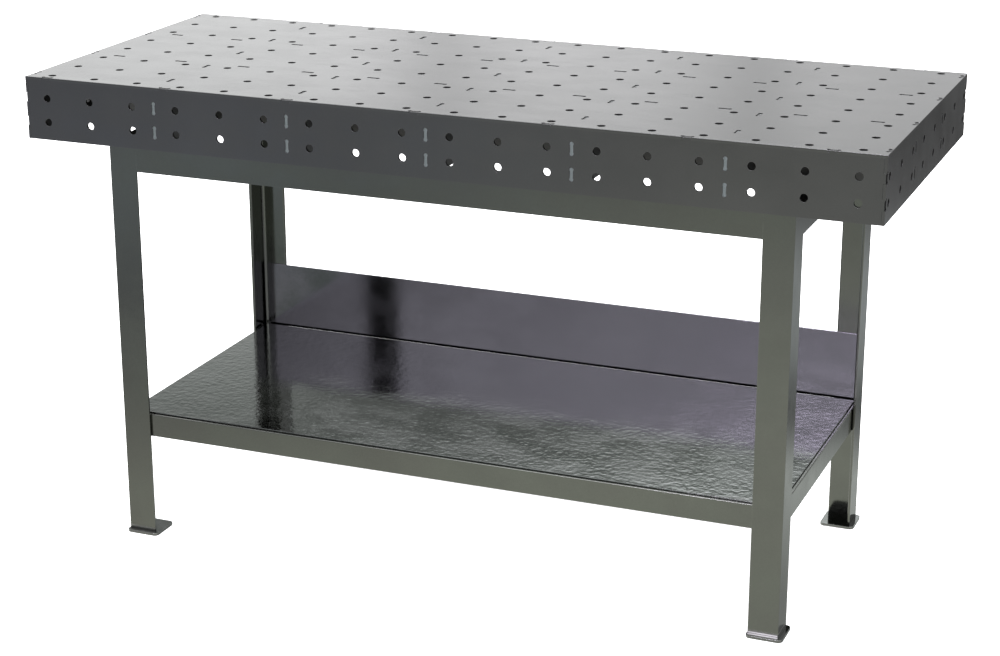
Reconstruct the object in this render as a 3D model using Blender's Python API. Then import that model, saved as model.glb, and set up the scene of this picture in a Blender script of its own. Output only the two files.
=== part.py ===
"""Welding table: a perforated fixture top on an angle-iron stand with a shelf and a back panel.

World frame in metres: +X runs along the table, -Y is the front, +Z is up, and the origin is on
the floor under the middle of the top.  The top is a tab-and-slot box of 6 mm sheet: a top plate,
four skirts and a grid of ribs.  It rests on a welded stand of equal-angle legs and rails.  Tabs
stand into open slots with a small fit gap, and every piece is a separate object.
"""

import math

import bmesh
import bpy
from mathutils import Matrix, Vector

# Overall size.
TOP_LENGTH = 1.800
TOP_WIDTH = 0.750
TABLE_HEIGHT = 1.008
FIT_GAP = 0.0003

# Sheet box under the work surface.
SHEET = 0.006
SKIRT_DROP = 0.125
TAB_LENGTH = 0.019
TAB_REACH = 0.004

# Fixture holes.
HOLE_DIAMETER = 0.016
HOLE_PITCH = 0.100
HOLE_COLUMNS = 18
HOLE_ROWS = 8
HOLE_SIDES = 10
SKIRT_HOLE_FRACTIONS = (0.3, 0.7)

# Ribs and the tabs that hold the box together.
CROSS_RIB_PITCH = 0.300
CROSS_RIB_COUNT = 5
CROSS_RIB_TAB_PITCH = 0.150
CROSS_RIB_TAB_COUNT = 5
LONG_RIB_OFFSET = 0.125
LONG_RIB_TAB_PITCH = 0.150
LONG_RIB_TAB_COUNT = 12
SKIRT_TAB_PITCH = 0.275
SKIRT_TAB_COUNT = 7
END_TAB_PITCH = 0.225
END_TAB_COUNT = 4

# Stand: outer faces of the angle frame.
STAND_LEFT = -0.736
STAND_RIGHT = 0.726
STAND_FRONT = -0.330
STAND_REAR = 0.330
ANGLE = 0.062
ANGLE_THICKNESS = 0.006
ANGLE_ROOT = 0.007
ANGLE_TOE = 0.003

# Foot plates, placed from each leg's outer bounds.
FOOT_SIZE = 0.075
FOOT_THICKNESS = 0.006
FOOT_CORNER = 0.010
FOOT_SHIFT_X = 0.0045
FOOT_SHIFT_Y = -0.0065

# Shelf and back panel.
SHELF_HEIGHT = 0.280
SHELF_ANGLE = 0.050
SHELF_ANGLE_THICKNESS = 0.005
SHELF_ANGLE_ROOT = 0.006
SHELF_ANGLE_TOE = 0.0025
SHELF_SHEET = 0.003
SHELF_INSET = 0.007
SHELF_CORNER = 0.003
RAIL_CORNER_CUT = 0.0078
SHELF_GUTTER = 0.0072
PANEL_HEIGHT = 0.153
PANEL_THICKNESS = 0.003

ARC_STEPS = 4
WELD_DISTANCE = 0.000001
SMOOTH_ANGLE = math.radians(40)

X_AXIS = Vector((1, 0, 0))
Y_AXIS = Vector((0, 1, 0))
Z_AXIS = Vector((0, 0, 1))


def clear_scene():
    for obj in list(bpy.data.objects):
        bpy.data.objects.remove(obj, do_unlink=True)


def make_collection(name):
    collection = bpy.data.collections.new(name)
    bpy.context.scene.collection.children.link(collection)
    return collection


def make_material(name, colour, roughness):
    """A bare-steel Principled material."""
    material = bpy.data.materials.new(name)
    material.use_nodes = True
    shader = material.node_tree.nodes["Principled BSDF"]
    shader.inputs["Base Color"].default_value = (*colour, 1.0)
    shader.inputs["Roughness"].default_value = roughness
    shader.inputs["Metallic"].default_value = 1.0
    material.diffuse_color = (*colour, 1.0)
    return material


def make_empty(name, height):
    empty = bpy.data.objects.new(name, None)
    empty.empty_display_size = 0.1
    empty.location.z = height
    bpy.context.scene.collection.objects.link(empty)
    return empty


# ---------------------------------------------------------------- outlines


def evenly_spaced(count, pitch):
    """Positions of count places at a pitch, centred on zero."""
    return [(index - (count - 1) / 2) * pitch for index in range(count)]


def arc(centre_x, centre_y, radius, start_degrees, end_degrees, steps=ARC_STEPS):
    points = []
    for step in range(steps + 1):
        angle = math.radians(start_degrees + (end_degrees - start_degrees) * step / steps)
        points.append((centre_x + radius * math.cos(angle), centre_y + radius * math.sin(angle)))
    return points


def circle(centre_x, centre_y, diameter):
    radius = diameter / 2
    return arc(centre_x, centre_y, radius, 0, 360, HOLE_SIDES)[:-1]


def rectangle(centre_x, centre_y, width, height):
    half_x = width / 2
    half_y = height / 2
    return [
        (centre_x - half_x, centre_y - half_y),
        (centre_x + half_x, centre_y - half_y),
        (centre_x + half_x, centre_y + half_y),
        (centre_x - half_x, centre_y + half_y),
    ]


def rounded_rectangle(width, height, radius):
    x = width / 2 - radius
    y = height / 2 - radius
    points = arc(x, y, radius, 0, 90)
    points += arc(-x, y, radius, 90, 180)
    points += arc(-x, -y, radius, 180, 270)
    points += arc(x, -y, radius, 270, 360)
    return points


def stepped_edge(start, end, steps):
    """One side of an anticlockwise outline, from start up to but not including end.

    Each step is (place, width, depth): a tab where depth is positive and a notch where it is
    negative, centred on place along the side's own axis.
    """
    start = Vector(start)
    end = Vector(end)
    along = (end - start).normalized()
    outward = Vector((along.y, -along.x))
    axis = 0 if abs(along.x) > abs(along.y) else 1
    points = [start]
    for place, width, depth in sorted(steps, key=lambda step: abs(step[0] - start[axis])):
        foot = start + along * (abs(place - start[axis]) - width / 2)
        far_foot = foot + along * width
        points += [foot, foot + outward * depth, far_foot + outward * depth, far_foot]
    return points


def stepped_rectangle(low, high, bottom=(), right=(), top=(), left=()):
    """A rectangle from low to high whose four sides carry tabs and notches."""
    corners = [(low[0], low[1]), (high[0], low[1]), (high[0], high[1]), (low[0], high[1])]
    sides = (bottom, right, top, left)
    points = []
    for index, steps in enumerate(sides):
        points += stepped_edge(corners[index], corners[(index + 1) % 4], steps)
    return points


def angle_profile(size, thickness, root, toe):
    """Rolled equal-angle section: heel at the origin, one flange along +x and one along +y."""
    points = [(0, 0), (size, 0)]
    points += arc(size - toe, thickness - toe, toe, 0, 90)
    points += arc(thickness + root, thickness + root, root, 270, 180)
    points += arc(thickness - toe, size - toe, toe, 0, 90)
    points += [(0, size)]
    return points


# ---------------------------------------------------------------- solids


def sheet_mesh(name, outlines, thickness):
    """Closed mesh of flat outlines, the first solid and the rest holes, centred on z = 0."""
    curve = bpy.data.curves.new(name, "CURVE")
    curve.dimensions = "2D"
    curve.fill_mode = "BOTH"
    curve.extrude = thickness / 2
    for outline in outlines:
        spline = curve.splines.new("POLY")
        spline.points.add(len(outline) - 1)
        for point, place in zip(spline.points, outline):
            point.co = (place[0], place[1], 0, 1)
        spline.use_cyclic_u = True
    holder = bpy.data.objects.new(name + "_outline", curve)
    bpy.context.scene.collection.objects.link(holder)
    depsgraph = bpy.context.evaluated_depsgraph_get()
    mesh = bpy.data.meshes.new_from_object(holder.evaluated_get(depsgraph))
    bpy.data.objects.remove(holder, do_unlink=True)
    bpy.data.curves.remove(curve)

    welded = bmesh.new()
    welded.from_mesh(mesh)
    bmesh.ops.remove_doubles(welded, verts=welded.verts, dist=WELD_DISTANCE)
    bmesh.ops.recalc_face_normals(welded, faces=welded.faces)
    welded.to_mesh(mesh)
    welded.free()
    mesh.name = name
    mesh.shade_smooth()
    mesh.set_sharp_from_angle(angle=SMOOTH_ANGLE)
    return mesh


def mitre(mesh):
    """Cut both ends of an angle at 45 degrees, so that its heel side is the longer one."""
    for vertex in mesh.vertices:
        vertex.co.z -= math.copysign(vertex.co.x, vertex.co.z)


def place(name, mesh, material, collection, parent, origin, x_axis, y_axis):
    """Add a mesh as an object whose own x and y run along the two given world axes."""
    obj = bpy.data.objects.new(name, mesh)
    mesh.materials.clear()
    mesh.materials.append(material)
    collection.objects.link(obj)
    obj.parent = parent
    obj.location = origin
    turn = Matrix((x_axis, y_axis, x_axis.cross(y_axis))).transposed()
    obj.rotation_euler = turn.to_euler()
    return obj


# ---------------------------------------------------------------- fixture top


def skirt_levels():
    """Heights of the skirt holes and end tabs, measured from the work surface."""
    return [-(SHEET + SKIRT_DROP * fraction) for fraction in SKIRT_HOLE_FRACTIONS]


def cross_rib_places():
    return evenly_spaced(CROSS_RIB_COUNT, CROSS_RIB_PITCH)


def skirt_tab_places():
    """The long skirts' tabs start over the first hole and run at their own pitch."""
    first = -(HOLE_COLUMNS - 1) / 2 * HOLE_PITCH
    return [first + index * SKIRT_TAB_PITCH for index in range(SKIRT_TAB_COUNT)]


def tabs(places):
    """Tabs that stand into the neighbouring sheet, from a side that keeps the fit gap to it."""
    return [(place, TAB_LENGTH, TAB_REACH + FIT_GAP) for place in places]


def notches(places):
    """Notches as deep as a sheet is thick, for tabs that come in from the edge."""
    return [(place, TAB_LENGTH + 2 * FIT_GAP, -(SHEET + FIT_GAP)) for place in places]


def slots(places_x, places_y, along_x):
    """Closed slots for tabs, long side along x or along y."""
    length = TAB_LENGTH + 2 * FIT_GAP
    width = SHEET + 2 * FIT_GAP
    size = (length, width) if along_x else (width, length)
    return [rectangle(x, y, *size) for x in places_x for y in places_y]


def top_plate_mesh():
    half_x = TOP_LENGTH / 2
    half_y = TOP_WIDTH / 2
    long_side = notches(skirt_tab_places())
    short_side = notches(evenly_spaced(END_TAB_COUNT, END_TAB_PITCH))
    outlines = [stepped_rectangle((-half_x, -half_y), (half_x, half_y),
                                  long_side, short_side, long_side, short_side)]
    for x in evenly_spaced(HOLE_COLUMNS, HOLE_PITCH):
        outlines += [circle(x, y, HOLE_DIAMETER) for y in evenly_spaced(HOLE_ROWS, HOLE_PITCH)]
    cross_tabs = evenly_spaced(CROSS_RIB_TAB_COUNT, CROSS_RIB_TAB_PITCH)
    outlines += slots(cross_rib_places(), cross_tabs, along_x=False)
    long_tabs = evenly_spaced(LONG_RIB_TAB_COUNT, LONG_RIB_TAB_PITCH)
    outlines += slots(long_tabs, (-LONG_RIB_OFFSET, LONG_RIB_OFFSET), along_x=True)
    return sheet_mesh("top_plate", outlines, SHEET)


def upright_bounds(half_length):
    """Low and high corners of a skirt or rib, in its own length and height."""
    return (-half_length, -SHEET - SKIRT_DROP), (half_length, -SHEET - FIT_GAP)


def long_skirt_mesh(name):
    """Front or rear skirt: it fits between the end skirts and is tabbed into them."""
    low, high = upright_bounds(TOP_LENGTH / 2 - SHEET - FIT_GAP)
    end_tabs = tabs(skirt_levels())
    outlines = [stepped_rectangle(low, high, right=end_tabs, left=end_tabs,
                                  top=tabs(skirt_tab_places()))]
    for x in evenly_spaced(HOLE_COLUMNS, HOLE_PITCH):
        outlines += [circle(x, level, HOLE_DIAMETER) for level in skirt_levels()]
    outlines += slots(cross_rib_places(), skirt_levels(), along_x=False)
    return sheet_mesh(name, outlines, SHEET)


def end_skirt_mesh(name):
    """Left or right skirt: full width, notched at its upright edges for the long skirts."""
    low, high = upright_bounds(TOP_WIDTH / 2)
    edge_notches = notches(skirt_levels())
    outlines = [stepped_rectangle(low, high, right=edge_notches, left=edge_notches,
                                  top=tabs(evenly_spaced(END_TAB_COUNT, END_TAB_PITCH)))]
    for y in evenly_spaced(HOLE_ROWS, HOLE_PITCH):
        outlines += [circle(y, level, HOLE_DIAMETER) for level in skirt_levels()]
    outlines += slots((-LONG_RIB_OFFSET, LONG_RIB_OFFSET), skirt_levels(), along_x=False)
    return sheet_mesh(name, outlines, SHEET)


def half_lap(places):
    """Open slots to mid-height, where ribs cross each other."""
    depth = (SKIRT_DROP - FIT_GAP) / 2 + FIT_GAP / 2
    return [(place, SHEET + 2 * FIT_GAP, -depth) for place in places]


def rib_mesh(name, outer_length, top_tabs, laps_at_top, laps_at_bottom):
    low, high = upright_bounds(outer_length / 2 - SHEET - FIT_GAP)
    end_tabs = tabs(skirt_levels())
    outline = stepped_rectangle(low, high, bottom=half_lap(laps_at_bottom), right=end_tabs,
                                top=tabs(top_tabs) + half_lap(laps_at_top), left=end_tabs)
    return sheet_mesh(name, [outline], SHEET)


def build_top(collection, parent, top_steel, side_steel):
    place("top_plate", top_plate_mesh(), top_steel, collection, parent,
          (0, 0, -SHEET / 2), X_AXIS, Y_AXIS)

    skirt_y = (TOP_WIDTH - SHEET) / 2
    for name, y in (("front_skirt", -skirt_y), ("rear_skirt", skirt_y)):
        place(name, long_skirt_mesh(name), side_steel, collection, parent,
              (0, y, 0), X_AXIS, Z_AXIS)

    skirt_x = (TOP_LENGTH - SHEET) / 2
    for name, x in (("left_skirt", -skirt_x), ("right_skirt", skirt_x)):
        place(name, end_skirt_mesh(name), side_steel, collection, parent,
              (x, 0, 0), Y_AXIS, Z_AXIS)

    cross_tabs = evenly_spaced(CROSS_RIB_TAB_COUNT, CROSS_RIB_TAB_PITCH)
    for number, x in enumerate(cross_rib_places(), start=1):
        name = f"cross_rib_{number}"
        mesh = rib_mesh(name, TOP_WIDTH, cross_tabs, (-LONG_RIB_OFFSET, LONG_RIB_OFFSET), ())
        place(name, mesh, side_steel, collection, parent, (x, 0, 0), Y_AXIS, Z_AXIS)

    long_tabs = evenly_spaced(LONG_RIB_TAB_COUNT, LONG_RIB_TAB_PITCH)
    for name, y in (("long_rib_front", -LONG_RIB_OFFSET), ("long_rib_rear", LONG_RIB_OFFSET)):
        mesh = rib_mesh(name, TOP_LENGTH, long_tabs, (), cross_rib_places())
        place(name, mesh, side_steel, collection, parent, (0, y, 0), X_AXIS, Z_AXIS)


# ---------------------------------------------------------------- stand


def stand_corners():
    """Name, heel position and inward directions of the four leg corners."""
    return (
        ("front_left", STAND_LEFT, STAND_FRONT, X_AXIS, Y_AXIS),
        ("front_right", STAND_RIGHT, STAND_FRONT, Y_AXIS, -X_AXIS),
        ("rear_right", STAND_RIGHT, STAND_REAR, -X_AXIS, -Y_AXIS),
        ("rear_left", STAND_LEFT, STAND_REAR, -Y_AXIS, X_AXIS),
    )


def stand_sides():
    """Name, middle of the outer face, inward and lengthwise directions, and length."""
    mid_x = (STAND_LEFT + STAND_RIGHT) / 2
    mid_y = (STAND_FRONT + STAND_REAR) / 2
    length_x = STAND_RIGHT - STAND_LEFT
    length_y = STAND_REAR - STAND_FRONT
    return (
        ("front", Vector((mid_x, STAND_FRONT, 0)), Y_AXIS, length_x),
        ("right", Vector((STAND_RIGHT, mid_y, 0)), -X_AXIS, length_y),
        ("rear", Vector((mid_x, STAND_REAR, 0)), -Y_AXIS, length_x),
        ("left", Vector((STAND_LEFT, mid_y, 0)), X_AXIS, length_y),
    )


def stand_top():
    return TABLE_HEIGHT - SHEET - SKIRT_DROP - FIT_GAP


def build_legs(collection, parent, steel):
    profile = angle_profile(ANGLE, ANGLE_THICKNESS, ANGLE_ROOT, ANGLE_TOE)
    low = FOOT_THICKNESS + FIT_GAP
    length = stand_top() - low
    for corner, x, y, flange_x, flange_y in stand_corners():
        name = f"leg_{corner}"
        place(name, sheet_mesh(name, [profile], length), steel, collection, parent,
              (x, y, low + length / 2), flange_x, flange_y)


def build_foot_plates(collection, parent, steel):
    outline = rounded_rectangle(FOOT_SIZE, FOOT_SIZE, FOOT_CORNER)
    for corner, x, y, flange_x, flange_y in stand_corners():
        name = f"foot_plate_{corner}"
        middle = Vector((x, y, 0)) + (flange_x + flange_y) * ANGLE / 2
        origin = middle + Vector((FOOT_SHIFT_X, FOOT_SHIFT_Y, FOOT_THICKNESS / 2))
        place(name, sheet_mesh(name, [outline], FOOT_THICKNESS), steel, collection, parent,
              origin, X_AXIS, Y_AXIS)


def build_top_rails(collection, parent, steel):
    """Angles between the legs, their outer flanges flush with the legs' faces."""
    profile = angle_profile(ANGLE, ANGLE_THICKNESS, ANGLE_ROOT, ANGLE_TOE)
    for side, face, inward, length in stand_sides():
        name = f"top_rail_{side}"
        rail_length = length - 2 * (ANGLE + FIT_GAP)
        place(name, sheet_mesh(name, [profile], rail_length), steel, collection, parent,
              face + Z_AXIS * stand_top(), inward, -Z_AXIS)


def corner_cutter(corner, heel, collection, parent):
    """A turned block that takes the shelf frame's corner off where the leg's root fillet is."""
    size = 0.04
    height = 0.12
    bpy.ops.mesh.primitive_cube_add(size=1)
    cutter = bpy.context.active_object
    cutter.name = f"cut_{corner}"
    for vertex in cutter.data.vertices:
        vertex.co = Vector((vertex.co.x * size, vertex.co.y * size, vertex.co.z * height))
    for owner in list(cutter.users_collection):
        owner.objects.unlink(cutter)
    collection.objects.link(cutter)
    outward = Vector((math.copysign(1, heel.x), math.copysign(1, heel.y), 0)).normalized()
    reach = size / 2 - RAIL_CORNER_CUT / math.sqrt(2)
    cutter.parent = parent
    cutter.location = heel + outward * reach
    cutter.rotation_euler.z = math.radians(45)
    cutter.hide_render = True
    cutter.display_type = "WIRE"
    return cutter


def build_shelf_rails(collection, cutters, parent, steel):
    """A mitred frame of smaller angles that fits inside the legs, flat flanges on top."""
    profile = angle_profile(SHELF_ANGLE, SHELF_ANGLE_THICKNESS, SHELF_ANGLE_ROOT, SHELF_ANGLE_TOE)
    rail_top = SHELF_HEIGHT - SHELF_SHEET - FIT_GAP
    step_in = ANGLE_THICKNESS + FIT_GAP
    corner_cutters = []
    for corner, x, y, _, _ in stand_corners():
        inner = Vector((x - math.copysign(step_in, x), y - math.copysign(step_in, y), rail_top))
        corner_cutters.append(corner_cutter(corner, inner, cutters, parent))
    for side, face, inward, length in stand_sides():
        name = f"shelf_rail_{side}"
        mesh = sheet_mesh(name, [profile], length - 2 * step_in - FIT_GAP)
        mitre(mesh)
        rail = place(name, mesh, steel, collection, parent,
                     face + inward * step_in + Z_AXIS * rail_top, inward, -Z_AXIS)
        for cutter in corner_cutters:
            cut = rail.modifiers.new(cutter.name, "BOOLEAN")
            cut.operation = "DIFFERENCE"
            cut.solver = "EXACT"
            cut.object = cutter


def build_shelf(collection, parent, shelf_steel, panel_steel):
    """The sheet lies on the frame; the panel stands on it behind a narrow gutter."""
    inset = ANGLE_THICKNESS + SHELF_INSET
    middle_x = (STAND_LEFT + STAND_RIGHT) / 2
    width = STAND_RIGHT - STAND_LEFT - 2 * inset
    panel_back = STAND_REAR - ANGLE_THICKNESS - FIT_GAP
    sheet_back = panel_back - PANEL_THICKNESS - SHELF_GUTTER
    sheet_front = STAND_FRONT + inset
    sheet_outline = rounded_rectangle(width, sheet_back - sheet_front, SHELF_CORNER)
    sheet = sheet_mesh("shelf_sheet", [sheet_outline], SHELF_SHEET)
    place("shelf_sheet", sheet, shelf_steel, collection, parent,
          (middle_x, (sheet_front + sheet_back) / 2, SHELF_HEIGHT - SHELF_SHEET / 2),
          X_AXIS, Y_AXIS)

    panel_outline = rounded_rectangle(width, PANEL_HEIGHT, SHELF_CORNER)
    panel = sheet_mesh("back_panel", [panel_outline], PANEL_THICKNESS)
    place("back_panel", panel, panel_steel, collection, parent,
          (middle_x, panel_back - PANEL_THICKNESS / 2,
           SHELF_HEIGHT - SHELF_SHEET + PANEL_HEIGHT / 2), X_AXIS, Z_AXIS)


def main():
    clear_scene()
    parts = make_collection("welding_table")
    cutters = make_collection("cutters")
    work_surface = make_empty("work_surface", TABLE_HEIGHT)
    floor = make_empty("floor", 0)

    top_steel = make_material("top_steel", (0.52, 0.52, 0.52), 0.42)
    side_steel = make_material("side_steel", (0.10, 0.10, 0.095), 0.45)
    frame_steel = make_material("frame_steel", (0.14, 0.145, 0.125), 0.32)
    shelf_steel = make_material("shelf_steel", (0.15, 0.17, 0.155), 0.22)
    panel_steel = make_material("panel_steel", (0.13, 0.12, 0.14), 0.28)
    foot_steel = make_material("foot_steel", (0.16, 0.165, 0.15), 0.20)

    build_top(parts, work_surface, top_steel, side_steel)
    build_legs(parts, floor, frame_steel)
    build_foot_plates(parts, floor, foot_steel)
    build_top_rails(parts, floor, frame_steel)
    build_shelf_rails(parts, cutters, floor, frame_steel)
    build_shelf(parts, floor, shelf_steel, panel_steel)


main()
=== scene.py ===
"""Looks of the welding table: fine sheet-metal surfaces, steel finishes, floor, surroundings.

Every visible piece is built again here with true holes, relief-cut slots, rolled sections and
rounded rims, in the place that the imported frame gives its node.  Metres, +Z up, -Y is the front.
"""

import math

import bmesh
import bpy
from mathutils import Matrix, Vector


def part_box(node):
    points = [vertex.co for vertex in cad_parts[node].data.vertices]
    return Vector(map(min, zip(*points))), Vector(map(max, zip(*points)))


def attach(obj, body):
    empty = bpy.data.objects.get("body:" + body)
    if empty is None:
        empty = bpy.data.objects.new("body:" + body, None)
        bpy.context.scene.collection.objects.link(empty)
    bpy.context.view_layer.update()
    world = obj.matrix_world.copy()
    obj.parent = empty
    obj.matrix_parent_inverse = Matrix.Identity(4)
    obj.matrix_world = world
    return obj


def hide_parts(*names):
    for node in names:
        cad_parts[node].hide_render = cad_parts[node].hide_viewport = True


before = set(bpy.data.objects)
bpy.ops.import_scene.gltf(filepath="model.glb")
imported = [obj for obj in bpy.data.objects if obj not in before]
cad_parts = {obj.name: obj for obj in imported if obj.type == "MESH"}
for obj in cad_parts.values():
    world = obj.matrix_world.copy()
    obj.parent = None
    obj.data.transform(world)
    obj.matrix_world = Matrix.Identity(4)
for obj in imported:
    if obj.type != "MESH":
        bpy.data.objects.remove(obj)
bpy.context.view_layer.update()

# Fixture top: fit gaps, slots and holes.
GAP = 0.0003
SHEET = 0.006
TAB_LENGTH = 0.019
TAB_REACH = 0.0042
TAB_TIP_RADIUS = 0.0006
SLOT_LENGTH = TAB_LENGTH + 2 * GAP
SLOT_WIDTH = SHEET + 2 * GAP
RELIEF = 0.0086
NOTCH_RELIEF = 0.0070
TOP_PLUG_RECESS = 0.0020
SIDE_PLUG_RECESS = 0.0012
PLUG_THICKNESS = 0.0005
PLUG_PLAY = 0.00005
PLUG_RIM = 0.0001
HOLE_DIAMETER = 0.016
HOLE_PITCH = 0.100
HOLE_COLUMNS = 18
HOLE_ROWS = 8
HOLE_LEVELS = (-0.0435, -0.0935)
CROSS_RIBS = 5
CROSS_RIB_PITCH = 0.300
CROSS_TABS = 5
CROSS_TAB_PITCH = 0.150
LONG_RIB_PLACES = (-0.125, 0.125)
LONG_TABS = 12
LONG_TAB_PITCH = 0.150
SKIRT_TABS = 7
SKIRT_TAB_PITCH = 0.275
SKIRT_TAB_START = -0.850
END_TABS = 4
END_TAB_PITCH = 0.225

# From the box of an upright sheet to its body, past the tabs.  A skirt reaches higher than a rib,
# to close its fit gap under the plate.
TABBED_END = 0.0043
PLAIN_END = 0.0
RIB_TOP = 0.0043
SKIRT_TOP = 0.0032

# Stand: rolled angles and thin sheets.
ANGLE = 0.062
ANGLE_THICKNESS = 0.006
ANGLE_ROOT = 0.007
ANGLE_TOE = 0.003
ANGLE_HEEL = 0.0012
SHELF_ANGLE = 0.050
SHELF_ANGLE_THICKNESS = 0.005
SHELF_ANGLE_ROOT = 0.006
SHELF_ANGLE_TOE = 0.0025
SHELF_ANGLE_HEEL = 0.0022
RAIL_CORNER_CUT = 0.0078
TOP_RAIL_HEEL = 0.0004
TOP_RAIL_RIM = 0.00015
TOP_RAIL_PLAY = 0.00004
FOOT_CORNER = 0.010
SHEET_CORNER = 0.003

# Rounded rims and limits of the meshes.
SHEET_RIM = 0.0006
CUT_RIM = 0.0002
FOOT_RIM = 0.0006
THIN_RIM = 0.0008
RIM_STEPS = 3
SHORTEST_STEP = 0.00002
MERGE_DISTANCE = 0.000002
MITRE_LIMIT = 0.3
SHARP_ANGLE = math.radians(50)

# Finishes: reflectance by channel, and the hammered shelf as (cells per metre, depth).
TOP_COLOUR = (0.126, 0.127, 0.126)
SKIRT_COLOUR = (0.120, 0.120, 0.121)
RIB_COLOUR = (0.122, 0.122, 0.123)
ANGLE_COLOUR = (0.133, 0.137, 0.125)
ANGLE_TINT = (0.98, 1.01, 0.99)
SHELF_COLOUR = (0.115, 0.122, 0.116)
PANEL_COLOUR = (0.170, 0.166, 0.183)
FOOT_COLOUR = (0.150, 0.155, 0.150)
SLOT_WELD_DARK = (0.165, 0.188, 0.192)
SLOT_WELD_PALE = (0.240, 0.270, 0.275)
SHELF_RIPPLE = (62.0, 0.00030)
RIPPLE_STRETCH = (1.3, 1.3, 1.0)
LEAST_ROUGHNESS = 0.04

# Painted shade inside the fixture top: a dark, dull coat on the inner faces and on the walls of the
# cuts, so that holes, slots and the space under the top read dark.  A face is an outer one, free of
# it, where its place along the outward axis, in metres, times its share of that direction is past
# the first limit.
PAINTED_SHADE_COLOUR = (0.03, 0.03, 0.03)
PAINTED_SHADE_SHARE = 0.9
INNER_FACE_ROUGHNESS = 0.5
SHADE_OUTWARD_TOP = (0.95, 0.85)
SHADE_OUTWARD_SIDE = (0.15, 0.05)
SHADE_FREE_BORDER = (0.002, 0.004)

# Rubbed edges: reach of the bevel, and cosines of the turn where rubbing begins and is full.
WEAR_RADIUS = 0.0016
WEAR_TURN = (0.99, 0.86)

# Trace of the foot weld on the front legs, by height above the floor.
FOOT_WELD_BAND = (0.0094, 0.0130)
FOOT_WELD_FADE_IN = 0.0006
FOOT_WELD_FADE_OUT = 0.0020
FOOT_WELD_COLOUR = (0.215, 0.220, 0.200)
FOOT_WELD_ROUGHNESS = 0.35

WHITE = (1.0, 1.0, 1.0)
X_AXIS = Vector((1, 0, 0))
Y_AXIS = Vector((0, 1, 0))
Z_AXIS = Vector((0, 0, 1))
CORNERS = ("front_left", "front_right", "rear_right", "rear_left")
SIDES = ("front", "right", "rear", "left")


# ---------------------------------------------------------------- outlines


def evenly_spaced(count, pitch):
    """Positions of count places at a pitch, centred on zero."""
    return [(index - (count - 1) / 2) * pitch for index in range(count)]


def arc(centre_x, centre_y, radius, start_degrees, end_degrees, steps):
    """Points on part of a circle, with both ends."""
    points = []
    for step in range(steps + 1):
        angle = math.radians(start_degrees + (end_degrees - start_degrees) * step / steps)
        points.append((centre_x + radius * math.cos(angle), centre_y + radius * math.sin(angle)))
    return points


def circle(centre_x, centre_y, diameter, sides=36):
    """A round hole, as an outline without the repeated last point."""
    return arc(centre_x, centre_y, diameter / 2, 0, 360, sides)[:-1]


def rounded_rectangle(width, height, radius, steps=8):
    """Anticlockwise rectangle about the origin, with round corners."""
    x = width / 2 - radius
    y = height / 2 - radius
    points = arc(x, y, radius, 0, 90, steps)
    points += arc(-x, y, radius, 90, 180, steps)
    points += arc(-x, -y, radius, 180, 270, steps)
    points += arc(x, -y, radius, 270, 360, steps)
    return points


def dogbone(centre_x, centre_y, along_x, shrink=0.0):
    """Slot for one tab: a bar with a round relief at each end, anticlockwise."""
    half_width = SLOT_WIDTH / 2 - shrink
    radius = RELIEF / 2 - shrink
    reach = TAB_LENGTH / 2
    open_angle = math.degrees(math.asin(half_width / radius))
    points = arc(reach, 0, radius, open_angle - 180, 180 - open_angle, 14)
    points += arc(-reach, 0, radius, open_angle, 360 - open_angle, 14)
    if not along_x:
        points = [(-y, x) for x, y in points]
    return [(centre_x + x, centre_y + y) for x, y in points]


def tab_step(depth):
    """Tab on a side: offsets along the side and outward, with softly rounded tip corners."""
    half = TAB_LENGTH / 2
    tip = TAB_TIP_RADIUS
    outline = [(-half, 0.0)]
    outline += [(x - half + tip, y + depth - tip) for x, y in arc(0, 0, tip, 180, 90, 3)]
    outline += [(x + half - tip, y + depth - tip) for x, y in arc(0, 0, tip, 90, 0, 3)]
    outline += [(half, 0.0)]
    return outline


def notch_step(depth):
    """Edge notch with a round relief in each inner corner."""
    half = SLOT_LENGTH / 2
    radius = NOTCH_RELIEF / 2
    outline = [(-half, 0.0)]
    outline += arc(-half, -depth, radius, 90, 360, 12)
    outline += arc(half, -depth, radius, 180, 450, 12)
    outline += [(half, 0.0)]
    return outline


def lap_step(depth):
    """Open slot of a half lap, with a rounded bottom."""
    half = SLOT_WIDTH / 2
    outline = [(-half, 0.0)]
    outline += arc(0, -depth + half, half, 180, 360, 8)
    outline += [(half, 0.0)]
    return outline


def stepped_edge(start, end, steps):
    """One side of an anticlockwise outline, from start up to but not including end."""
    start = Vector(start)
    end = Vector(end)
    along = (end - start).normalized()
    outward = Vector((along.y, -along.x))
    axis = 0 if abs(along.x) > abs(along.y) else 1
    points = [tuple(start)]
    for shape, place, depth in sorted(steps, key=lambda step: abs(step[1] - start[axis])):
        base = start.copy()
        base[axis] = place
        for across, out in shape(depth):
            points.append(tuple(base + along * across + outward * out))
    return points


def stepped_rectangle(low, high, bottom=(), right=(), top=(), left=()):
    """Anticlockwise rectangle with tabs, notches or laps as (shape, place, depth) on its sides."""
    corners = [(low[0], low[1]), (high[0], low[1]), (high[0], high[1]), (low[0], high[1])]
    points = []
    for index, steps in enumerate((bottom, right, top, left)):
        points += stepped_edge(corners[index], corners[(index + 1) % 4], steps)
    return points


def angle_profile(size, thickness, root, toe, heel):
    """Rolled equal-angle section, its heel corner at the origin and rounded a little."""
    points = arc(heel, heel, heel, 180, 270, 5)
    points += [(size, 0)]
    points += arc(size - toe, thickness - toe, toe, 0, 90, 6)
    points += arc(thickness + root, thickness + root, root, 270, 180, 8)
    points += arc(thickness - toe, size - toe, toe, 0, 90, 6)
    points += [(0, size)]
    return points


# ---------------------------------------------------------------- meshes


def signed_area(points):
    """Area inside an outline, positive if it runs anticlockwise."""
    total = 0.0
    for (x0, y0), (x1, y1) in zip(points, points[1:] + points[:1]):
        total += x0 * y1 - x1 * y0
    return total / 2


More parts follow.
